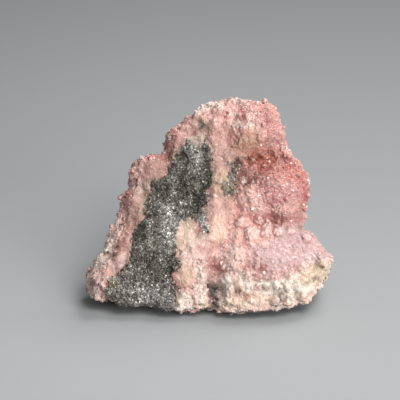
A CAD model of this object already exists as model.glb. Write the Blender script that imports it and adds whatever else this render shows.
"""The looks of the cobaltoan calcite specimen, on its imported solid. The scene is in metres, +Z up,
resting at z = 0. Sizes and places named here are in millimetres unless they say metres, and colours
are sRGB."""

import math

import bpy
import numpy as np
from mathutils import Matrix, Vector, noise


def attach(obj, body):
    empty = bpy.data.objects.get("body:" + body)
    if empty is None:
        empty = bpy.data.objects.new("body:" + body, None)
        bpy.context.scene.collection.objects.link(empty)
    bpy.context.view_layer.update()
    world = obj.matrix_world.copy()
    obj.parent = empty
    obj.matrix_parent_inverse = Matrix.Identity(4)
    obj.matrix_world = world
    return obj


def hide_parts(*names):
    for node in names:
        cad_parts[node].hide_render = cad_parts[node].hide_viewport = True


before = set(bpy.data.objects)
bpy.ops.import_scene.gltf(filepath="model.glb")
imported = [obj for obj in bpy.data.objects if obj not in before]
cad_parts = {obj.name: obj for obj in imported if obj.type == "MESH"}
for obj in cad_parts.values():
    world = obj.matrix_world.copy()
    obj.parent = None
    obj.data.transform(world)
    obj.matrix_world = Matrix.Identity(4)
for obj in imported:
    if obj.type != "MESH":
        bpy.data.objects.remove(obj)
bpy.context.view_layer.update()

MM = 0.001
NODE = "cobaltoan_calcite"

# The camera looks at the middle of the photo's frame
EYE_HEIGHT = math.radians(25)
EYE_DISTANCE = 600.0
EYE_TARGET = Vector((-2.375, 0.47, 21.74))
LENS = 216.0
INTO = Vector((0.0, math.cos(EYE_HEIGHT), -math.sin(EYE_HEIGHT)))
UPWARD = Vector((0.0, math.sin(EYE_HEIGHT), math.cos(EYE_HEIGHT)))
EYE = EYE_TARGET - EYE_DISTANCE * INTO

# Places on the front are (across, up), as the camera sees them. The camera's target is this far up
# there, so that zero is the foot
FRONT_ZERO_UP = 27.0

# The tilts of the matrix's facets: their seed, and how far apart in the noise the facets read it
TILT_SEED = 1
FACET_SPREAD = 7.3

# The skin's mesh
VOXEL = 0.38
SOFTEN = 2

# Relief of the skin: the size of a form and how far it stands out
DRUSE_RELIEF = ((2.2, 0.34), (1.0, 0.20))
VEIN_RELIEF = ((2.4, 0.22), (0.7, 0.10))
MATRIX_RELIEF = ((2.6, 0.36), (1.1, 0.22))
CRUST_RELIEF = ((2.6, 0.75), (1.2, 0.32))

# How far the skin is drawn in, to leave room for the crystals that stand on it
ROOM_FOR_CRYSTALS = 0.35

# The skin isn't moved below this height, so that the underside stays flat
FLAT_BELOW = 0.15

# No crystals below the first height, and all of them above the second
OFF_GROUND = (0.7, 1.2)

# How many times the skin is evened, to tell what stands out of it and to melt its facets
EVEN_FOR_HEIGHT = 60
EVEN_FOR_MELTING = 120

# The edges between the surfaces waver: the size of a wave and how far it reaches
WAVER = ((2.6, 0.5), (0.9, 0.35), (0.45, 0.2))

# They are also broken up by grit of this size and strength
GRIT_SIZE = 0.8
GRIT_STRENGTH = 1.4

# A normal's share towards the camera, from not front to front; towards +Y, from not behind to
# behind; and downwards, from side to underside
FRONTWARD = (-0.1, 0.15)
BACKWARD = (-0.5, -0.1)
DOWNWARD = (0.6, 0.8)

# How far the matrix stains what is beside it, and the crust bleaches it
FRINGE = 2.6
BLEACH = 2.4

COLOURS = {
    "white": (248, 234, 223),
    "cream": (232, 206, 190),
    "yellow_cream": (230, 207, 184),
    "peach": (238, 200, 182),
    "orange_peach": (200, 165, 141),
    "sand": (218, 186, 166),
    "pale_pink": (230, 198, 189),
    "whitish_pink": (200, 180, 170),
    "dim_pink": (192, 154, 146),
    "dusty_pink": (182, 142, 132),
    "dull_rose": (170, 126, 117),
    "blush": (232, 190, 182),
    "lilac": (200, 166, 165),
    "pink": (208, 156, 148),
    "light_pink": (224, 180, 171),
    "salmon": (188, 123, 115),
    "mauve": (207, 150, 147),
    "dusky_mauve": (188, 140, 134),
    "rose": (186, 132, 126),
    "red_rose": (185, 116, 112),
    "deep_rose": (164, 108, 100),
    "orange_red": (186, 114, 92),
    "rust": (160, 100, 82),
    "tan": (196, 153, 131),
    "stone_cream": (224, 202, 178),
    "maroon": (112, 66, 60),
    "brown": (98, 72, 58),
    "umber": (112, 98, 84),
    "gully": (80, 62, 56),
    "stain": (140, 132, 114),
    "olive": (134, 122, 102),
    "silver": (186, 185, 181),
    "grey": (113, 108, 101),
    "dark_grey": (72, 68, 60),
    "light_grey": (160, 158, 154),
    "pit": (48, 38, 36),
}

# How strongly each wash of colour is laid
WASHES = {
    "pale crust": 0.95,
    "white vein": 0.15,
    "bleached druse": 0.65,
    "olive fringe": 0.6,
    "dark mottle": 0.5,
    "light mottle": 0.45,
    "knob tops": 0.6,
    "tan crust": 0.5,
    "stained crust": 0.35,
    "broken stains": 0.55,
    "crust hollows": 0.2,
    "cleft": 0.85,
}


def spot(centre, radii, turn=0.0, soft=0.7):
    """An oval on the front: its centre and radii, turned anticlockwise by degrees."""
    return {"centre": centre, "radii": radii, "turn": turn, "soft": soft}


def patch(*corners, soft=0.5):
    """A region of the front, inside these corners."""
    return {"corners": corners, "soft": soft}


# Where each kind of surface shows on the front; the rest is druse, and each lies over those before it
VEIN = [
    patch(
        (-2.0, 43.0), (0.9, 44.0), (5.6, 39.5), (5.6, 34.0), (4.6, 31.0), (3.1, 28.0),
        (5.6, 26.2), (6.1, 23.2), (4.6, 19.0), (4.1, 15.5), (1.4, 13.5), (-0.9, 11.5),
        (-3.4, 10.0), (-3.9, 5.5), (-8.6, 4.6), (-10.0, 10.0), (-10.0, 20.0), (-5.0, 26.0),
        (-2.0, 36.0),
    ),
    patch(
        (-9.4, 38.0), (-8.8, 44.0), (-4.5, 47.8), (0.5, 50.0), (4.0, 49.0), (5.8, 44.5),
        (5.8, 38.5), (0.9, 38.0), soft=3.0,
    ),
    patch(
        (-10.6, 37.3), (-10.6, 32.0), (-14.4, 31.5), (-14.9, 28.8), (-16.6, 25.5),
        (-16.1, 22.3), (-18.1, 20.5), (-19.6, 16.8), (-19.9, 12.8), (-22.1, 9.0),
        (-25.4, 7.0), (-26.4, 4.5), (-27.4, 5.8), (-25.4, 11.5), (-22.9, 15.8),
        (-21.4, 20.8), (-19.6, 25.8), (-18.4, 30.8), (-16.1, 37.0),
    ),
]
CRUST = [
    patch(
        (1.4, 8.3), (5.1, 8.8), (8.9, 8.6), (12.6, 6.8), (16.4, 7.2), (20.1, 8.0),
        (23.9, 10.2), (27.6, 11.5), (32.0, 12.0), (32.0, -3.0), (1.0, -3.0), soft=2.8,
    ),
    patch(
        (-23.4, 24.0), (-21.6, 20.8), (-22.6, 16.8), (-24.0, 13.8), (-24.8, 11.5),
        (-30.0, 11.5), (-27.0, 17.0), (-24.9, 22.0), soft=2.0,
    ),
    spot((-27.9, 10.0), (1.7, 1.2)),
    spot((-20.4, 33.3), (1.3, 2.6), turn=-20.0, soft=1.4),
    spot((-6.3, 1.3), (2.6, 2.3)),
    spot((-1.5, 1.1), (1.6, 2.0)),
    spot((-2.5, 7.9), (1.3, 4.0)),
    spot((-7.9, 14.1), (0.8, 0.7)),
    spot((3.6, -0.2), (3.5, 1.4)),
    spot((-1.2, 50.4), (3.2, 1.9), soft=1.6),
    spot((6.9, 52.6), (1.1, 0.8), soft=1.0),
    spot((0.5, 38.0), (0.5, 1.6)),
    spot((-18.8, 35.2), (1.2, 2.1), turn=-25.0),
]
MATRIX = [
    patch(
        (0.6, 40.8), (-0.9, 41.5), (-2.6, 40.0), (-5.4, 42.0), (-8.6, 38.5), (-10.1, 35.3),
        (-10.6, 33.0), (-14.6, 31.8), (-14.4, 29.3), (-16.6, 25.5), (-16.1, 22.3),
        (-18.4, 20.5), (-19.6, 16.8), (-19.9, 12.8), (-22.1, 8.5), (-25.4, 7.0),
        (-25.9, 4.3), (-25.4, -3.0), (-8.4, -3.0), (-8.4, 2.6), (-8.6, 5.3), (-9.6, 8.0),
        (-7.4, 10.8), (-8.4, 14.0), (-8.6, 18.8), (-7.4, 21.8), (-5.1, 22.8), (-2.8, 21.5),
        (-1.9, 18.8), (-0.4, 19.2), (-0.4, 21.8), (-1.4, 24.8), (-0.4, 27.0), (-0.9, 29.3),
        (0.6, 31.5), (0.9, 34.8), (0.1, 38.5), soft=2.0,
    ),
    spot((5.7, 32.8), (1.0, 3.2), turn=-8.0, soft=1.4),
    spot((4.8, 29.9), (1.8, 1.5), soft=1.4),
    spot((-1.8, 45.5), (0.6, 0.4), turn=30.0),
]

# Broken grey stains on the crust
STAINS = [
    spot((18.4, 4.0), (1.6, 1.9), soft=3.0),
    spot((14.4, 5.2), (1.8, 0.6), soft=2.0),
    spot((21.4, 4.4), (1.0, 2.0), soft=2.4),
    spot((7.4, 4.4), (0.8, 0.4), soft=1.0),
    spot((25.6, 6.8), (2.2, 0.4), turn=25.0, soft=1.4),
]

# Strokes of colour on the front, in the order they are laid, under the matrix
STROKES = [
    ("light_pink", spot((4.0, 49.0), (5.5, 3.4), soft=3.0)),
    ("tan", spot((9.2, 41.2), (3.2, 2.4), soft=4.0)),
    ("stone_cream", spot((10.6, 45.4), (0.8, 0.8), soft=1.6)),
    ("pink", spot((3.3, 48.5), (0.8, 1.1), soft=1.2)),
    ("white", spot((-1.6, 50.8), (2.6, 1.5), turn=20.0, soft=1.4)),
    ("white", spot((7.0, 52.8), (0.9, 0.7), soft=0.8)),
    ("white", spot((5.9, 48.2), (0.5, 0.6), soft=0.8)),
    ("white", spot((10.8, 45.8), (0.6, 0.6), soft=0.8)),
    ("pink", spot((6.3, 43.5), (0.8, 0.8), soft=1.2)),
    ("rose", spot((17.6, 41.4), (0.9, 2.0), soft=1.4)),
    ("pale_pink", spot((8.0, 46.4), (2.6, 1.2), turn=20.0, soft=2.0)),
    ("salmon", spot((8.2, 48.4), (1.4, 1.4), soft=1.8)),
    ("dusty_pink", spot((3.3, 37.2), (2.7, 3.4), soft=2.4)),
    ("orange_red", spot((12.8, 37.4), (3.8, 2.3), soft=3.6)),
    ("rust", spot((14.8, 38.5), (1.0, 0.9), soft=2.0)),
    ("rust", spot((10.8, 37.0), (1.4, 1.6), soft=1.2)),
    ("salmon", spot((13.6, 34.7), (2.6, 1.3), soft=1.4)),
    ("dusky_mauve", spot((10.0, 32.5), (2.6, 2.3), soft=2.0)),
    ("maroon", spot((7.4, 36.1), (1.1, 1.2), soft=1.0)),
    ("pit", spot((5.9, 35.6), (1.3, 0.5), turn=-20.0, soft=0.8)),
    ("maroon", spot((9.2, 31.1), (0.8, 1.0), soft=0.8)),
    ("white", spot((8.5, 31.8), (0.4, 0.7), soft=0.6)),
    ("salmon", spot((20.0, 33.4), (4.2, 3.4), soft=3.0)),
    ("red_rose", spot((24.2, 28.4), (1.8, 3.4), soft=2.6)),
    ("mauve", spot((17.0, 28.6), (5.4, 3.4), soft=3.0)),
    ("pink", spot((8.0, 24.0), (1.8, 2.6), soft=2.0)),
    ("light_pink", spot((11.5, 25.5), (2.4, 2.0), soft=2.0)),
    ("rose", spot((18.0, 22.4), (4.8, 1.2), soft=1.8)),
    ("deep_rose", spot((16.9, 21.5), (2.0, 0.5), soft=0.9)),
    ("light_pink", spot((7.6, 20.2), (3.2, 2.0), soft=2.0)),
    ("lilac", patch(
        (8.9, 20.2), (12.0, 21.2), (16.0, 20.5), (22.0, 21.3), (25.5, 21.0), (28.0, 19.0),
        (28.5, 16.0), (30.0, 14.0), (31.5, 11.5), (27.0, 11.0), (20.0, 9.4), (14.0, 7.8),
        (10.0, 11.0), (9.0, 15.0), soft=2.4,
    )),
    ("salmon", spot((7.0, 16.3), (2.4, 1.2), soft=1.6)),
    ("blush", spot((5.7, 12.8), (5.0, 3.2), soft=2.4)),
    ("pale_pink", spot((5.8, 12.4), (1.6, 4.0), soft=2.4)),
    ("blush", spot((11.4, 18.6), (5.0, 3.0), soft=2.4)),
    ("salmon", spot((13.3, 9.8), (1.1, 1.0), soft=1.0)),
    ("dusty_pink", spot((-2.6, 45.0), (4.2, 3.0), soft=3.0)),
    ("whitish_pink", spot((-3.0, 41.4), (2.6, 1.9), soft=1.2)),
    ("orange_peach", spot((2.8, 31.6), (2.3, 3.4), soft=1.6)),
    ("brown", spot((3.9, 30.4), (0.3, 1.6), turn=20.0, soft=0.7)),
    ("light_pink", spot((2.1, 24.6), (3.7, 2.4), soft=1.8)),
    ("peach", spot((2.1, 19.6), (2.2, 3.3), soft=1.6)),
    ("pale_pink", spot((-1.5, 17.1), (1.8, 1.9), soft=1.4)),
    ("cream", spot((-6.0, 18.1), (2.9, 5.2), soft=1.6)),
    ("yellow_cream", spot((-5.8, 19.0), (0.6, 2.6), soft=1.0)),
    ("pale_pink", spot((-4.3, 12.5), (3.4, 2.1), soft=1.6)),
    ("sand", spot((-5.9, 8.3), (2.2, 2.5), soft=1.4)),
    ("rose", spot((0.6, 9.8), (1.9, 2.0), soft=1.8)),
    ("pale_pink", spot((-2.8, 4.4), (2.4, 2.8), soft=2.0)),
    ("brown", spot((2.2, 31.2), (2.0, 0.4), turn=-8.0, soft=0.5)),
    ("brown", spot((-0.5, 28.2), (1.1, 0.6))),
    ("brown", spot((0.3, 25.4), (0.8, 0.4))),
    ("light_pink", spot((-17.9, 34.0), (2.3, 3.2), turn=-20.0, soft=2.4)),
    ("rose", spot((-18.2, 33.0), (0.5, 2.6), turn=-20.0, soft=1.4)),
    ("dull_rose", spot((-13.4, 34.4), (2.8, 3.1), soft=2.4)),
    ("rose", spot((-9.8, 40.8), (1.4, 3.2), turn=-12.0, soft=1.4)),
    ("maroon", spot((-9.4, 38.6), (0.4, 1.7), turn=-20.0, soft=0.8)),
    ("rose", spot((-20.3, 29.1), (1.0, 1.7), soft=1.2)),
    ("whitish_pink", spot((-16.8, 29.5), (1.9, 2.2), soft=1.4)),
    ("stain", spot((-15.9, 26.8), (1.0, 2.0), soft=1.6)),
    ("dusty_pink", spot((-19.4, 22.5), (2.2, 6.5), turn=-20.0, soft=2.4)),
    ("rose", spot((-21.2, 17.5), (0.7, 4.4), turn=-20.0, soft=1.6)),
    ("pale_pink", spot((-28.4, 5.6), (2.4, 3.8), soft=2.8)),
    ("pale_pink", spot((-28.0, 2.8), (2.2, 1.4), turn=-30.0, soft=1.4)),
    ("maroon", spot((-27.6, 5.4), (1.5, 0.25), turn=-50.0, soft=0.6)),
    ("lilac", spot((-22.9, 10.3), (2.4, 2.4), soft=1.8)),
    ("maroon", spot((-23.6, 13.4), (0.8, 0.7), soft=0.8)),
    ("tan", spot((9.4, 3.2), (2.0, 0.6), soft=1.6)),
    ("stone_cream", spot((5.6, 1.0), (4.0, 1.0), soft=2.4)),
    ("dim_pink", spot((11.5, 4.9), (0.9, 0.7), soft=1.0)),
    ("yellow_cream", spot((12.9, 2.4), (1.6, 0.9), soft=2.0)),
    ("rose", spot((6.6, 4.0), (0.5, 0.5), soft=0.7)),
    ("brown", spot((7.6, 4.2), (0.5, 0.4), soft=0.6)),
    ("brown", spot((-7.6, 4.9), (0.8, 0.9), soft=1.0)),
    ("white", spot((4.2, 6.0), (1.5, 2.2), soft=1.2)),
    ("stone_cream", spot((26.4, 8.6), (4.4, 2.8), turn=20.0, soft=2.4)),
    ("pale_pink", spot((-24.6, 17.2), (1.7, 6.6), turn=-22.0, soft=1.8)),
    ("white", spot((-26.0, 13.4), (1.1, 3.2), turn=-25.0, soft=1.6)),
    ("lilac", spot((-28.2, 6.8), (1.4, 1.2), soft=1.6)),
    ("white", spot((-6.2, 1.2), (2.0, 1.8), soft=1.6)),
    ("white", spot((-2.4, 3.4), (0.9, 2.4), soft=1.4)),
    ("pit", spot((-22.1, 20.8), (0.4, 0.4), soft=0.5)),
    ("pit", spot((-25.6, 13.8), (0.45, 0.45), soft=0.5)),
    ("pit", spot((-21.4, 27.8), (0.4, 0.4), soft=0.5)),
]

# The dark cleft left of the ledge, laid last, over crust and druse alike
CLEFT = [
    ("gully", spot((0.8, 4.0), (1.3, 3.4), turn=8.0, soft=1.2)),
    ("pit", spot((0.1, 4.8), (0.3, 2.6), turn=12.0, soft=0.6)),
    ("pit", spot((1.5, 3.0), (0.3, 2.4), turn=10.0, soft=0.6)),
]

# Strokes of colour on the matrix
MATRIX_STROKES = [
    ("silver", spot((-10.2, 19.6), (1.9, 5.2), turn=-6.0, soft=2.4)),
    ("light_grey", spot((-15.5, 3.6), (7.0, 2.4), turn=-8.0, soft=4.0)),
    ("light_grey", spot((-3.0, 39.5), (2.0, 1.6), soft=2.0)),
    ("light_grey", spot((-3.0, 37.5), (1.6, 3.0), turn=-15.0, soft=3.0)),
    ("silver", spot((-1.6, 21.5), (0.8, 2.2), soft=1.2)),
    ("dark_grey", spot((-8.2, 38.0), (0.9, 2.6), turn=-28.0, soft=1.6)),
    ("dark_grey", spot((-0.2, 33.4), (1.2, 3.2), soft=1.6)),
    ("dark_grey", spot((-13.6, 29.8), (1.6, 1.6), soft=1.6)),
    ("dark_grey", spot((-17.8, 19.0), (1.0, 4.0), turn=-25.0, soft=1.6)),
    ("dark_grey", spot((-9.6, 9.4), (1.0, 3.2), turn=-10.0, soft=1.6)),
    ("stain", spot((-24.2, 6.0), (1.6, 1.2), soft=1.4)),
    ("stain", spot((4.8, 29.9), (1.6, 1.4), soft=1.2)),
]

# A crystal is a cube stood on its corner and pressed to this share of its height, and sunk into the
# skin by this share of its edge
PRESSED = 0.85
SUNK = 0.42

# Points tried for crystals on a square of their spacing, before those too close are dropped
POINTS_TRIED = 3.0

# The big round crystals of the brow and the crust's edge: place on the front, radius and height
KNOBS = [
    ((10.4, 18.8), 1.8, 1.6),
    ((14.0, 19.2), 1.7, 1.5),
    ((12.4, 21.6), 1.3, 1.1),
    ((17.4, 19.4), 1.5, 1.0),
    ((8.0, 21.2), 1.5, 1.0),
    ((10.0, 16.4), 1.2, 0.5),
    ((20.4, 19.4), 1.2, 0.6),
    ((7.4, 12.6), 1.2, 0.5),
    ((24.6, 17.6), 1.3, 0.6),
    ((3.6, 7.4), 1.5, 0.7),
    ((9.4, 9.0), 1.3, 0.6),
    ((11.8, 10.4), 1.0, 0.6),
    ((16.0, 7.6), 1.4, 0.6),
    ((20.0, 7.6), 1.4, 0.6),
    ((24.4, 9.4), 1.5, 0.7),
    ((29.0, 11.0), 1.3, 0.5),
]

# The ledge's top, and the shares of the druse's crystals that are left out there and on the knobs
LEDGE_TOP = spot((16.0, 15.0), (12.5, 6.6), soft=4.0)
LEDGE_BARE = 0.5
KNOBS_BARE = 0.8

# The vein carries the first share of the crust's crystals, each smaller by the second share
VEIN_GROWN = 0.4
VEIN_FINER = 0.5

# Where the facets melt into soft forms, and how much
MELTED = [
    (1.0, LEDGE_TOP),
    (0.9, spot((7.0, 16.5), (4.6, 6.4), soft=3.0)),
    (0.6, spot((8.5, 43.0), (5.5, 5.5), soft=4.0)),
    (0.6, spot((18.0, 29.5), (7.0, 6.5), soft=4.0)),
]

# The druse is strewn in two halves, which meet this far behind the origin as the camera looks
HALVES_MEET = 1.0

# How much the crystals' size varies, in patches of this size
SIZE_VARIES = 0.3
SIZE_PATCH = 4.0

# How large the crystals are on parts of the front, beside the usual
COARSENESS = [
    (0.8, spot((9.0, 45.5), (8.5, 6.5), soft=4.0)),
    (0.7, spot((19.0, 16.0), (10.0, 5.0), soft=4.0)),
    (0.8, spot((-22.0, 22.0), (6.0, 16.0), turn=-25.0, soft=4.0)),
]

# The floor darkens away from the camera and to the right: from and to these places, in metres
FLOOR_NEAR = (164, 168, 171)
FLOOR_FAR = (132, 135, 138)
FLOOR_FADE_BACK = (-0.04, 0.2)
FLOOR_FADE_RIGHT = (-0.01, 0.06)
FLOOR_RIGHT_LIGHT = 0.92

# The place, size, energy and colour of each soft box, in metres and watts
SOFT_BOXES = (
    ((0.19, -0.28, 0.49), 0.36, 2.5, (1.0, 0.98, 0.96)),
    ((0.22, 0.24, 0.48), 0.32, 2.4, (1.0, 0.98, 0.96)),
    ((0.42, -0.45, 0.13), 0.38, 2.9, (1.0, 0.97, 0.93)),
)
ROOM_COLOUR = (0.92, 0.90, 0.86, 1.0)
ROOM_STRENGTH = 0.14

# Round the back: matrix up to heights between these two, and crust up to heights between those
BACK_MATRIX_TOP = (9.0, 11.0)
BACK_CRUST_TOP = (12.0, 15.0)

# Those heights rise and fall: the size of a wave and how far it reaches
BACK_WAVER = (7.0, 3.0)

# How light the grains of the matrix are beside its middle grey, and the share of them up to each
GRAIN_LIGHTNESS = ((0.0, 0.3), (0.2, 0.6), (0.42, 0.92), (0.7, 1.3), (0.88, 2.0), (0.97, 3.4))

# The scales of the materials' patterns, as repeats in a metre
SKIN_CLOUDS = 1100.0
SKIN_GRAINS = 2600.0
CRYSTAL_CLOUDS = 2500.0
MATRIX_CLOUDS = 400.0

# The power that turns a tint into its deeper shade
DEEPER = 1.35
WHITE = (1.0, 1.0, 1.0, 1.0)

# Calcite scatters light about this far between the crystals and in them, red a little less far
SKIN_REACH = 0.6
CRYSTAL_REACH = 0.8
REACH_BY_COLOUR = (0.9, 1.0, 1.0)


def linear(colour):
    """An sRGB colour of 0 to 255 as linear light."""
    parts = [c / 255 for c in colour]
    return [c / 12.92 if c <= 0.04045 else ((c + 0.055) / 1.055) ** 2.4 for c in parts]


def deselect():
    bpy.ops.object.select_all(action="DESELECT")


def take(obj):
    """Makes the object the only one selected, and the active one."""
    deselect()
    obj.select_set(True)
    bpy.context.view_layer.objects.active = obj


def apply_modifiers(obj):
    take(obj)
    for modifier in list(obj.modifiers):
        bpy.ops.object.modifier_apply(modifier=modifier.name)


def rough_skin():
    """A copy of the solid, merged, and meshed finely enough to carry the relief."""
    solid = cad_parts[NODE]
    skin = bpy.data.objects.new("stone_skin", solid.data.copy())
    bpy.context.scene.collection.objects.link(skin)
    take(skin)
    bpy.ops.object.mode_set(mode="EDIT")
    bpy.ops.mesh.select_all(action="SELECT")
    bpy.ops.mesh.remove_doubles(threshold=0.01 * MM)
    bpy.ops.object.mode_set(mode="OBJECT")
    fine = skin.modifiers.new("fine", "REMESH")
    fine.mode = "VOXEL"
    fine.voxel_size = VOXEL * MM
    soften = skin.modifiers.new("soften", "SMOOTH")
    soften.iterations = SOFTEN
    apply_modifiers(skin)
    return skin


def places_of(mesh):
    """The vertices in millimetres, one row each."""
    places = np.empty(len(mesh.vertices) * 3, np.float32)
    mesh.vertices.foreach_get("co", places)
    return places.reshape(-1, 3) / MM


def normals_of(mesh):
    normals = np.empty(len(mesh.vertices) * 3, np.float32)
    mesh.vertex_normals.foreach_get("vector", normals)
    return normals.reshape(-1, 3)


def evened(places, mesh, rounds):
    """The vertices, each moved towards the middle of its neighbours that many times."""
    ends = np.empty(len(mesh.edges) * 2, np.int32)
    mesh.edges.foreach_get("vertices", ends)
    one, other = ends.reshape(-1, 2).T
    count = np.bincount(ends, minlength=len(places))
    for _ in range(rounds):
        middle = [
            np.bincount(one, places[other, axis], len(places))
            + np.bincount(other, places[one, axis], len(places))
            for axis in range(3)
        ]
        places = (places + np.array(middle).T / count[:, None]) / 2
    return places


def field(places, size, shift=0.0):
    """Smooth noise from about -1 to 1 at each place, with lumps of this size; the shift picks
    another part of the noise."""
    moved = places / size + shift
    return np.array([noise.noise(Vector(place)) for place in moved])


def rounded(places, size):
    """From 0 in the clefts to 1 on top of knobs of this size."""
    nearest = np.array([noise.voronoi(Vector(place))[0][0] for place in places / size])
    return np.clip(1.0 - 2.2 * nearest * nearest, 0.0, 1.0)


def chipped(places, size):
    """From -1 to 1: flat facets of this size that meet in low steps."""
    steps = []
    for place in places / size:
        here = Vector(place)
        site = noise.voronoi(here)[1][0]
        tilt = noise.noise_vector(site * FACET_SPREAD)
        steps.append(2.0 * (here - site) @ tilt + noise.noise(site * FACET_SPREAD))
    return np.clip(steps, -1.0, 1.0)


def ramp(value, low, high):
    """From 0 at low to 1 at high, with soft ends."""
    share = np.clip((value - low) / (high - low), 0.0, 1.0)
    return share * share * (3.0 - 2.0 * share)


def below(height, levels):
    """From 1 under the lower of two levels to 0 above the upper."""
    low, high = levels
    return ramp(-height, -high, -low)


def seen(places):
    """Where the camera sees each place: (across, up) on the front."""
    arm = places - np.array(EYE)
    scale = EYE_DISTANCE / (arm @ np.array(INTO))
    across = arm[:, 0] * scale + EYE_TARGET.x
    up = (arm @ np.array(UPWARD)) * scale + FRONT_ZERO_UP
    return np.stack([across, up], axis=1)


def outline_distance(points, corners):
    """How far each point of the front is outside the outline; negative inside."""
    nearest = np.full(len(points), np.inf)
    inside = np.zeros(len(points), bool)
    corners = np.array(corners)
    for start, end in zip(corners, np.roll(corners, -1, axis=0)):
        side = end - start
        share = np.clip((points - start) @ side / (side @ side), 0.0, 1.0)
        gap = points - start - share[:, None] * side
        nearest = np.minimum(nearest, np.hypot(gap[:, 0], gap[:, 1]))
        if side[1]:
            crossing = start[0] + (points[:, 1] - start[1]) * side[0] / side[1]
            level = (start[1] > points[:, 1]) != (end[1] > points[:, 1])
            inside ^= level & (points[:, 0] < crossing)
    return np.where(inside, -nearest, nearest)


def spot_distance(points, centre, radii, turn):
    """Much the same for an oval."""
    arm = points - np.array(centre)
    cos, sin = math.cos(math.radians(turn)), math.sin(math.radians(turn))
    wide = (arm[:, 0] * cos + arm[:, 1] * sin) / radii[0]
    tall = (arm[:, 1] * cos - arm[:, 0] * sin) / radii[1]
    return (np.hypot(wide, tall) - 1.0) * min(radii)


def cover(points, shape):
    """How much of the shape covers each point, from 0 to 1."""
    if "corners" in shape:
        away = outline_distance(points, shape["corners"])
    else:
        away = spot_distance(points, shape["centre"], shape["radii"], shape["turn"])
    return ramp(-away, -shape["soft"] / 2, shape["soft"] / 2)


def cover_all(points, shapes, grit):
    """How much of these shapes covers each point, their soft edges broken up by the grit."""
    share = np.max([cover(points, shape) for shape in shapes], axis=0)
    share = share + grit * (1.0 - np.abs(2.0 * share - 1.0))
    return ramp(share, 0.3, 0.7)


def near_all(points, shapes, reach):
    """From 1 on these shapes to 0 this far outside them."""
    share = np.max([cover(points, shape | {"soft": 2.0 * reach}) for shape in shapes], axis=0)
    return ramp(share, 0.0, 0.5)


def from_knob(points, centre, radius):
    """How far each point is from the middle of a knob, in radii."""
    return np.hypot(*(points - np.array(centre)).T) / radius


def blend(under, over, share):
    """Lays one colour over others by its share at each place."""
    share = np.asarray(share)[:, None]
    return under * (1.0 - share) + np.array(over) * share


class Survey:
    """What is known of each vertex of the skin: where the camera sees it, which way it looks, how
    far it stands out of its surroundings, and which kind of surface it is."""

    def __init__(self, mesh):
        self.places = places_of(mesh)
        self.normals = normals_of(mesh)
        proud = self.places - evened(self.places, mesh, EVEN_FOR_HEIGHT)
        self.height = np.sum(proud * self.normals, axis=1)
        points = seen(self.places)
        for size, reach in WAVER:
            points[:, 0] += reach * field(self.places, size, 3.0)
            points[:, 1] += reach * field(self.places, size, 9.0)
        self.points = points
        self.front = ramp(-self.normals @ np.array(INTO), *FRONTWARD)
        behind = (1.0 - self.front) * ramp(self.normals[:, 1], *BACKWARD)
        wave, reach = BACK_WAVER
        level = self.places[:, 2] + reach * field(self.places, wave, 1.0)
        grit = GRIT_STRENGTH * field(self.places, GRIT_SIZE, 7.0)
        self.matrix = np.maximum(
            self.front * cover_all(points, MATRIX, grit),
            behind * below(level, BACK_MATRIX_TOP),
        )
        self.matrix = np.maximum(self.matrix, ramp(-self.normals[:, 2], *DOWNWARD))
        self.crust = np.maximum(
            self.front * cover_all(points, CRUST, grit),
            behind * below(level, BACK_CRUST_TOP),
        )
        self.crust = self.crust * (1.0 - self.matrix)
        vein = self.front * cover_all(points, VEIN, grit)
        self.vein = vein * (1.0 - self.matrix) * (1.0 - self.crust)
        self.druse = 1.0 - self.matrix - self.crust - self.vein
        self.fringe = self.front * near_all(points, MATRIX, FRINGE) * (1.0 - self.matrix)
        self.bleach = self.front * near_all(points, CRUST, BLEACH)


def relieve(skin):
    """Works the relief of each kind of surface into the skin, and keeps the underside flat."""
    survey = Survey(skin.data)
    melted = [share * cover(survey.points, shape) for share, shape in MELTED]
    melted = survey.front * np.max(melted, axis=0)
    even = evened(survey.places, skin.data, EVEN_FOR_MELTING)
    soft = survey.places + (even - survey.places) * melted[:, None]
    out = np.zeros(len(survey.places))
    for share, forms, shape in (
        (survey.druse, DRUSE_RELIEF, rounded),
        (survey.crust, CRUST_RELIEF, rounded),
        (survey.vein, VEIN_RELIEF, rounded),
        (survey.matrix, MATRIX_RELIEF, chipped),
    ):
        middle = 0.0 if shape is chipped else 0.5
        for size, stands in forms:
            out += share * stands * (shape(survey.places, size) - middle)
    out -= ROOM_FOR_CRYSTALS * (survey.druse + survey.crust)
    for centre, radius, stands in KNOBS:
        away = from_knob(survey.points, centre, radius)
        out += stands * survey.front * np.sqrt(np.clip(1.0 - away * away, 0.0, 1.0))
    places = soft + survey.normals * out[:, None]
    flat = survey.places[:, 2] < FLAT_BELOW
    places[flat] = survey.places[flat]
    places[:, 2] = np.maximum(places[:, 2], 0.0)
    skin.data.vertices.foreach_set("co", (places * MM).astype(np.float32).ravel())
    skin.data.update()


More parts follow.
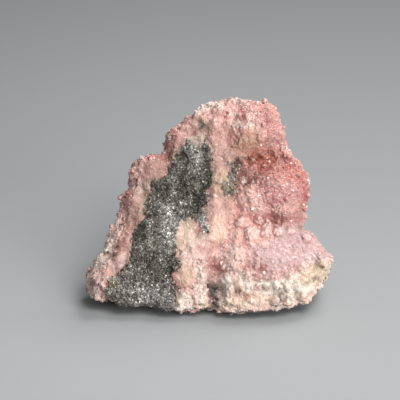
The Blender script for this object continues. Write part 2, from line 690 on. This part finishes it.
def tint_of(survey):
    """The colour of the skin at each vertex, in linear light."""
    colours = {name: linear(colour) for name, colour in COLOURS.items()}
    swell = field(survey.places, 6.0, 5.0)
    ripple = field(survey.places, 1.6, 2.0)
    tint = np.tile(colours["pink"], (len(survey.places), 1))
    tint = blend(tint, colours["light_pink"], ramp(swell + 0.5 * ripple, -0.1, 0.6))
    tint = blend(tint, colours["rose"], ramp(-swell + 0.5 * ripple, 0.1, 0.7))
    pale = np.tile(colours["white"], (len(tint), 1))
    pale = blend(pale, colours["cream"], ramp(ripple + swell, -0.3, 0.5))
    pale = blend(pale, colours["pale_pink"], ramp(swell - ripple, 0.0, 0.6))
    tint = blend(tint, pale, WASHES["pale crust"] * survey.crust)
    for colour, shape in STROKES:
        tint = blend(tint, colours[colour], survey.front * cover(survey.points, shape))
    tint = blend(tint, colours["whitish_pink"], WASHES["white vein"] * survey.vein)
    bleached = survey.bleach * survey.druse
    tint = blend(tint, colours["pale_pink"], WASHES["bleached druse"] * bleached)
    fringed = survey.fringe * ramp(ripple, -0.4, 0.3)
    tint = blend(tint, colours["olive"], WASHES["olive fringe"] * fringed)
    tint = blend(tint, colours["grey"], survey.matrix)
    for colour, shape in MATRIX_STROKES:
        tint = blend(tint, colours[colour], survey.matrix * cover(survey.points, shape))
    mottle = field(survey.places, 2.4, 6.0) + 0.7 * field(survey.places, 1.0, 8.0)
    dark = ramp(-mottle, 0.1, 0.6) * survey.matrix
    tint = blend(tint, colours["dark_grey"], WASHES["dark mottle"] * dark)
    light = ramp(mottle, 0.1, 0.6) * survey.matrix
    tint = blend(tint, colours["light_grey"], WASHES["light mottle"] * light)
    for centre, radius, _ in KNOBS:
        away = from_knob(survey.points, centre, radius)
        top = survey.front * (survey.druse + survey.vein) * ramp(-away, -1.0, -0.3)
        tint = blend(tint, colours["pale_pink"], WASHES["knob tops"] * top)
    hollow = ramp(-survey.height, 0.05, 0.5)
    tint = blend(tint, tint ** 1.1, hollow * (survey.druse + survey.vein))
    tan = ramp(mottle, 0.3, 0.7) * survey.crust
    tint = blend(tint, colours["tan"], WASHES["tan crust"] * tan)
    stained = ramp(-mottle, 0.4, 0.8) * survey.crust
    tint = blend(tint, colours["stain"], WASHES["stained crust"] * stained)
    broken = survey.front * cover_all(survey.points, STAINS, 1.6 * mottle) * survey.crust
    tint = blend(tint, colours["umber"], WASHES["broken stains"] * broken)
    sunk = ramp(hollow, 0.6, 1.0) * survey.crust
    tint = blend(tint, colours["umber"], WASHES["crust hollows"] * sunk)
    for colour, shape in CLEFT:
        share = survey.front * cover(survey.points, shape)
        tint = blend(tint, colours[colour], WASHES["cleft"] * share)
    return tint


def keep(mesh, name, values):
    """Stores a number for each vertex, for the materials and the crystals to read."""
    made = mesh.attributes.new(name, "FLOAT", "POINT")
    made.data.foreach_set("value", np.asarray(values, np.float32))


def mark(skin):
    """Stores what the materials and the crystals need on the skin."""
    mesh = skin.data
    survey = Survey(mesh)
    tint = mesh.attributes.new("tint", "FLOAT_COLOR", "POINT")
    solid = np.ones((len(mesh.vertices), 1))
    tint.data.foreach_set("color", np.hstack([tint_of(survey), solid]).astype(np.float32).ravel())
    off_ground = ramp(survey.places[:, 2], *OFF_GROUND)
    front_half = survey.places @ np.array(INTO) < HALVES_MEET
    keep(mesh, "matrix", survey.matrix)
    keep(mesh, "crust", survey.crust)
    keep(mesh, "vein", survey.vein)
    keep(mesh, "druse_all", survey.druse * off_ground)
    bare = LEDGE_BARE * survey.front * cover(survey.points, LEDGE_TOP)
    for centre, radius, _ in KNOBS:
        away = from_knob(survey.points, centre, radius)
        bare = np.maximum(bare, KNOBS_BARE * survey.front * ramp(-away, -1.0, -0.6))
    keep(mesh, "druse_near", survey.druse * off_ground * front_half * (1.0 - bare))
    keep(mesh, "druse_far", survey.druse * off_ground * ~front_half)
    keep(mesh, "crust_grown", (survey.crust + VEIN_GROWN * survey.vein) * off_ground)
    keep(mesh, "matrix_grown", survey.matrix * off_ground)
    coarse = 1.0 + SIZE_VARIES * field(survey.places, SIZE_PATCH, 4.0)
    for size, shape in COARSENESS:
        share = survey.front * cover(survey.points, shape)
        coarse = coarse * (1.0 - share) + size * share
    keep(mesh, "coarse", coarse * (1.0 - VEIN_FINER * survey.vein))


def node(tree, kind, inputs=None, **settings):
    """A new node. Its inputs are plain values or other nodes' outputs."""
    made = tree.nodes.new(kind)
    for name, value in settings.items():
        setattr(made, name, value)
    for name, value in (inputs or {}).items():
        if isinstance(value, bpy.types.NodeSocket):
            tree.links.new(value, made.inputs[name])
        else:
            made.inputs[name].default_value = value
    return made


def make_rhomb():
    """A calcite rhombohedron a millimetre on the edge, stood on its corner."""
    deselect()
    bpy.ops.mesh.primitive_cube_add(size=MM)
    rhomb = bpy.context.object
    bpy.ops.object.mode_set(mode="EDIT")
    bpy.ops.transform.rotate(value=math.radians(45), orient_axis="X", center_override=(0, 0, 0))
    lean = math.atan(math.sqrt(0.5))
    bpy.ops.transform.rotate(value=lean, orient_axis="Y", center_override=(0, 0, 0))
    bpy.ops.transform.resize(value=(1.0, 1.0, PRESSED), center_override=(0, 0, 0))
    bpy.ops.transform.translate(value=(0.0, 0.0, -SUNK * MM))
    bpy.ops.object.mode_set(mode="OBJECT")
    return rhomb


def make_worn():
    """The same crystal, shaded as if worn round."""
    worn = make_rhomb()
    bpy.ops.object.shade_smooth()
    return worn


def strewn(name, skin, crystal, where, spacing, sizes, lean, seed):
    """Crystals over the skin where the named attribute says, each along the surface's normal. The
    sizes are the least and the greatest edge, and the lean is in radians."""
    piece = bpy.data.objects.new(name, skin.data.copy())
    bpy.context.scene.collection.objects.link(piece)
    tree = bpy.data.node_groups.new(name, "GeometryNodeTree")
    tree.interface.new_socket("Geometry", in_out="INPUT", socket_type="NodeSocketGeometry")
    tree.interface.new_socket("Geometry", in_out="OUTPUT", socket_type="NodeSocketGeometry")
    surface = node(tree, "NodeGroupInput").outputs[0]
    share = node(tree, "GeometryNodeInputNamedAttribute", {"Name": where}, data_type="FLOAT")
    coarse = node(tree, "GeometryNodeInputNamedAttribute", {"Name": "coarse"}, data_type="FLOAT")
    points = node(tree, "GeometryNodeDistributePointsOnFaces", {
        "Mesh": surface,
        "Distance Min": spacing * MM,
        "Density Max": POINTS_TRIED / (spacing * MM) ** 2,
        "Density Factor": share.outputs["Attribute"],
        "Seed": seed,
    }, distribute_method="POISSON")
    tilt = node(tree, "FunctionNodeRandomValue", {
        0: (-lean, -lean, -math.pi),
        1: (lean, lean, math.pi),
        "Seed": seed + 1,
    }, data_type="FLOAT_VECTOR")
    tilt = node(tree, "FunctionNodeEulerToRotation", {"Euler": tilt.outputs[0]})
    turn = node(tree, "FunctionNodeRotateRotation", {
        "Rotation": points.outputs["Rotation"],
        "Rotate By": tilt.outputs[0],
    }, rotation_space="LOCAL")
    size = node(tree, "FunctionNodeRandomValue", {
        2: sizes[0],
        3: sizes[1],
        "Seed": seed + 2,
    }, data_type="FLOAT")
    size = node(tree, "ShaderNodeMath", {
        0: size.outputs[1],
        1: coarse.outputs["Attribute"],
    }, operation="MULTIPLY")
    shape = node(tree, "GeometryNodeObjectInfo", {"Object": crystal})
    grown = node(tree, "GeometryNodeInstanceOnPoints", {
        "Points": points.outputs["Points"],
        "Instance": shape.outputs["Geometry"],
        "Rotation": turn.outputs[0],
        "Scale": size.outputs[0],
    })
    tone = node(tree, "FunctionNodeRandomValue", {2: 0.0, 3: 1.0, "Seed": seed + 3}, data_type="FLOAT")
    toned = node(tree, "GeometryNodeStoreNamedAttribute", {
        "Geometry": grown.outputs[0],
        "Name": "tone",
        "Value": tone.outputs[1],
    }, data_type="FLOAT", domain="INSTANCE")
    real = node(tree, "GeometryNodeRealizeInstances", {"Geometry": toned.outputs[0]})
    node(tree, "NodeGroupOutput", {0: real.outputs[0]})
    piece.modifiers.new("strewn", "NODES").node_group = tree
    apply_modifiers(piece)
    return piece


def new_material(name):
    made = bpy.data.materials.new(name)
    made.use_nodes = True
    return made, made.node_tree, made.node_tree.nodes["Principled BSDF"]


def read(tree, name):
    return node(tree, "ShaderNodeAttribute", attribute_name=name)


def mixed(tree, share, one, other, way="MIX"):
    """One colour laid over another; the share may be a number or a node's output."""
    made = node(tree, "ShaderNodeMix", {0: share, 6: one, 7: other}, data_type="RGBA", blend_type=way)
    return made.outputs[2]


def spread(tree, value, low, high, start, end):
    """Turns a value between low and high into one between start and end."""
    made = node(tree, "ShaderNodeMapRange", {
        "Value": value,
        "From Min": low,
        "From Max": high,
        "To Min": start,
        "To Max": end,
    })
    return made.outputs[0]


def grained(tree, value, tint):
    """The tint, made lighter or darker in steps of the value."""
    made = node(tree, "ShaderNodeValToRGB", {0: value})
    made.color_ramp.interpolation = "CONSTANT"
    steps = made.color_ramp.elements
    while len(steps) < len(GRAIN_LIGHTNESS):
        steps.new(1.0)
    for step, (start, light) in zip(steps, GRAIN_LIGHTNESS):
        step.position = start
        step.color = (light, light, light, 1.0)
    return mixed(tree, 1.0, tint, made.outputs[0], way="MULTIPLY")


def lift(tree, shader, height, depth):
    """A bump on the surface of this depth."""
    bump = node(tree, "ShaderNodeBump", {"Height": height, "Distance": depth * MM})
    tree.links.new(bump.outputs[0], shader.inputs["Normal"])


def let_glow(shader, weight, reach, shine):
    """Calcite lets this share of the light in, which scatters about this far. The shine is its IOR."""
    shader.inputs["Subsurface Weight"].default_value = weight
    shader.inputs["Subsurface Radius"].default_value = REACH_BY_COLOUR
    shader.inputs["Subsurface Scale"].default_value = reach * MM
    shader.inputs["IOR"].default_value = shine


def skin_material():
    """Between the crystals: mottled calcite, and grey matrix of fine light and dark grains."""
    made, tree, shader = new_material("calcite_and_matrix")
    place = node(tree, "ShaderNodeTexCoord").outputs["Object"]
    cloud = node(tree, "ShaderNodeTexNoise", {"Vector": place, "Scale": SKIN_CLOUDS, "Detail": 4.0})
    grain = node(tree, "ShaderNodeTexVoronoi", {"Vector": place, "Scale": SKIN_GRAINS})
    pick = node(tree, "ShaderNodeSeparateColor", {0: grain.outputs["Color"]}).outputs[0]
    tint = read(tree, "tint").outputs["Color"]
    darker = node(tree, "ShaderNodeGamma", {"Color": tint, "Gamma": DEEPER}).outputs[0]
    deep = spread(tree, cloud.outputs["Fac"], 0.42, 0.62, 0.45, 0.0)
    calcite = mixed(tree, deep, tint, darker)
    milky = spread(tree, cloud.outputs["Fac"], 0.58, 0.75, 0.0, 0.5)
    calcite = mixed(tree, milky, calcite, WHITE)
    grey = grained(tree, pick, tint)
    matrix = read(tree, "matrix").outputs["Fac"]
    tree.links.new(mixed(tree, matrix, calcite, grey), shader.inputs["Base Color"])
    rough = spread(tree, cloud.outputs["Fac"], 0.3, 0.7, 0.28, 0.55)
    tree.links.new(rough, shader.inputs["Roughness"])
    bumps = node(tree, "ShaderNodeMath", {
        0: cloud.outputs["Fac"],
        1: grain.outputs["Distance"],
    }, operation="ADD")
    lift(tree, shader, bumps.outputs[0], 0.12)
    let_glow(shader, weight=0.4, reach=SKIN_REACH, shine=1.6)
    return made


def crystal_material(name, deep, white, roughness, glow, shine):
    """Crystals that take the colour beneath them, the darkest made deeper by a share, and the
    lightest whiter by a share."""
    made, tree, shader = new_material(name)
    place = node(tree, "ShaderNodeTexCoord").outputs["Object"]
    cloud = node(tree, "ShaderNodeTexNoise", {"Vector": place, "Scale": CRYSTAL_CLOUDS, "Detail": 2.0})
    tint = read(tree, "tint").outputs["Color"]
    tone = read(tree, "tone").outputs["Fac"]
    darker = node(tree, "ShaderNodeGamma", {"Color": tint, "Gamma": DEEPER}).outputs[0]
    colour = mixed(tree, spread(tree, tone, 0.0, 0.5, deep, 0.0), tint, darker)
    colour = mixed(tree, spread(tree, tone, 0.82, 1.0, 0.0, white), colour, WHITE)
    clouded = spread(tree, cloud.outputs["Fac"], 0.4, 0.7, 0.0, 0.06)
    tree.links.new(mixed(tree, clouded, colour, darker), shader.inputs["Base Color"])
    rough = spread(tree, tone, 0.0, 1.0, roughness * 1.5, roughness)
    tree.links.new(rough, shader.inputs["Roughness"])
    let_glow(shader, glow, CRYSTAL_REACH, shine)
    return made


def grain_material():
    """Grains of the grey matrix, from near black to a few that flash white."""
    made, tree, shader = new_material("matrix_grain")
    tone = read(tree, "tone").outputs["Fac"]
    place = node(tree, "ShaderNodeTexCoord").outputs["Object"]
    cloud = node(tree, "ShaderNodeTexNoise", {"Vector": place, "Scale": MATRIX_CLOUDS, "Detail": 2.0})
    grey = grained(tree, tone, read(tree, "tint").outputs["Color"])
    light = spread(tree, cloud.outputs["Fac"], 0.35, 0.65, 0.35, 1.6)
    tree.links.new(mixed(tree, 0.55, grey, light, way="MULTIPLY"), shader.inputs["Base Color"])
    rough = spread(tree, tone, 0.3, 1.0, 0.5, 0.16)
    tree.links.new(rough, shader.inputs["Roughness"])
    return made


def finish(piece, material):
    """Gives the piece its material and hangs it on the body."""
    piece.data.materials.clear()
    piece.data.materials.append(material)
    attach(piece, "root")


def make_camera():
    bpy.ops.object.camera_add(location=EYE * MM, rotation=(math.pi / 2 - EYE_HEIGHT, 0.0, 0.0))
    camera = bpy.context.object
    camera.data.lens = LENS
    camera.data.clip_start = 10 * MM
    camera.data.clip_end = 10.0
    bpy.context.scene.camera = camera


def make_floor():
    """A plain pale sheet, darker towards the back and the right."""
    deselect()
    bpy.ops.mesh.primitive_plane_add(size=4.0)
    floor = bpy.context.object
    floor.name = "floor"
    made, tree, shader = new_material("floor_sheet")
    place = node(tree, "ShaderNodeTexCoord").outputs["Object"]
    place = node(tree, "ShaderNodeSeparateXYZ", {0: place}).outputs
    back = spread(tree, place["Y"], *FLOOR_FADE_BACK, 0.0, 1.0)
    right = spread(tree, place["X"], *FLOOR_FADE_RIGHT, 1.0, FLOOR_RIGHT_LIGHT)
    pale = mixed(tree, back, (*linear(FLOOR_NEAR), 1.0), (*linear(FLOOR_FAR), 1.0))
    tree.links.new(mixed(tree, 1.0, pale, right, way="MULTIPLY"), shader.inputs["Base Color"])
    shader.inputs["Roughness"].default_value = 0.9
    floor.data.materials.append(made)


def add_soft_box(place, size, energy, colour):
    """A square soft box that faces the specimen."""
    towards = Vector(place).to_track_quat("Z", "Y").to_euler()
    bpy.ops.object.light_add(type="AREA", location=place, rotation=towards)
    box = bpy.context.object.data
    box.size = size
    box.energy = energy
    box.color = colour


def make_light():
    """Soft boxes high in front, high behind and low in front, in a dim room."""
    for box in SOFT_BOXES:
        add_soft_box(*box)
    world = bpy.data.worlds.new("room")
    bpy.context.scene.world = world
    world.use_nodes = True
    room = world.node_tree.nodes["Background"]
    room.inputs["Color"].default_value = ROOM_COLOUR
    room.inputs["Strength"].default_value = ROOM_STRENGTH
    bpy.context.scene.view_settings.view_transform = "Standard"


noise.seed_set(TILT_SEED)
skin = rough_skin()
relieve(skin)
mark(skin)
sharp = make_rhomb()
worn = make_worn()
spark = crystal_material("spark", deep=0.1, white=0.6, roughness=0.08, glow=0.5, shine=1.8)
druse = crystal_material("druse_crystal", deep=0.05, white=0.2, roughness=0.25, glow=0.9, shine=1.55)
pale = crystal_material("crust_crystal", deep=0.15, white=0.5, roughness=0.3, glow=0.5, shine=1.6)
grains = grain_material()

# Each line: the piece, its crystal, where it grows, the spacing, the sizes, the lean, the seed and
# the material
for name, crystal, where, spacing, sizes, lean, seed, material in (
    ("druse_sparks", sharp, "druse_all", 0.95, (0.45, 0.85), 0.7, 50, spark),
    ("druse_near", worn, "druse_near", 0.6, (0.50, 1.05), 0.35, 10, druse),
    ("druse_far", worn, "druse_far", 0.6, (0.50, 0.90), 0.5, 20, druse),
    ("crust_crystals", worn, "crust_grown", 0.5, (0.30, 0.65), 0.7, 30, pale),
    ("matrix_grains", sharp, "matrix_grown", 0.35, (0.20, 0.42), 3.0, 40, grains),
):
    piece = strewn(name, skin, crystal, where, spacing, sizes, lean, seed)
    finish(piece, material)
for crystal in (sharp, worn):
    bpy.data.objects.remove(crystal)
finish(skin, skin_material())
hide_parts(NODE)
deselect()
make_camera()
make_floor()
make_light()
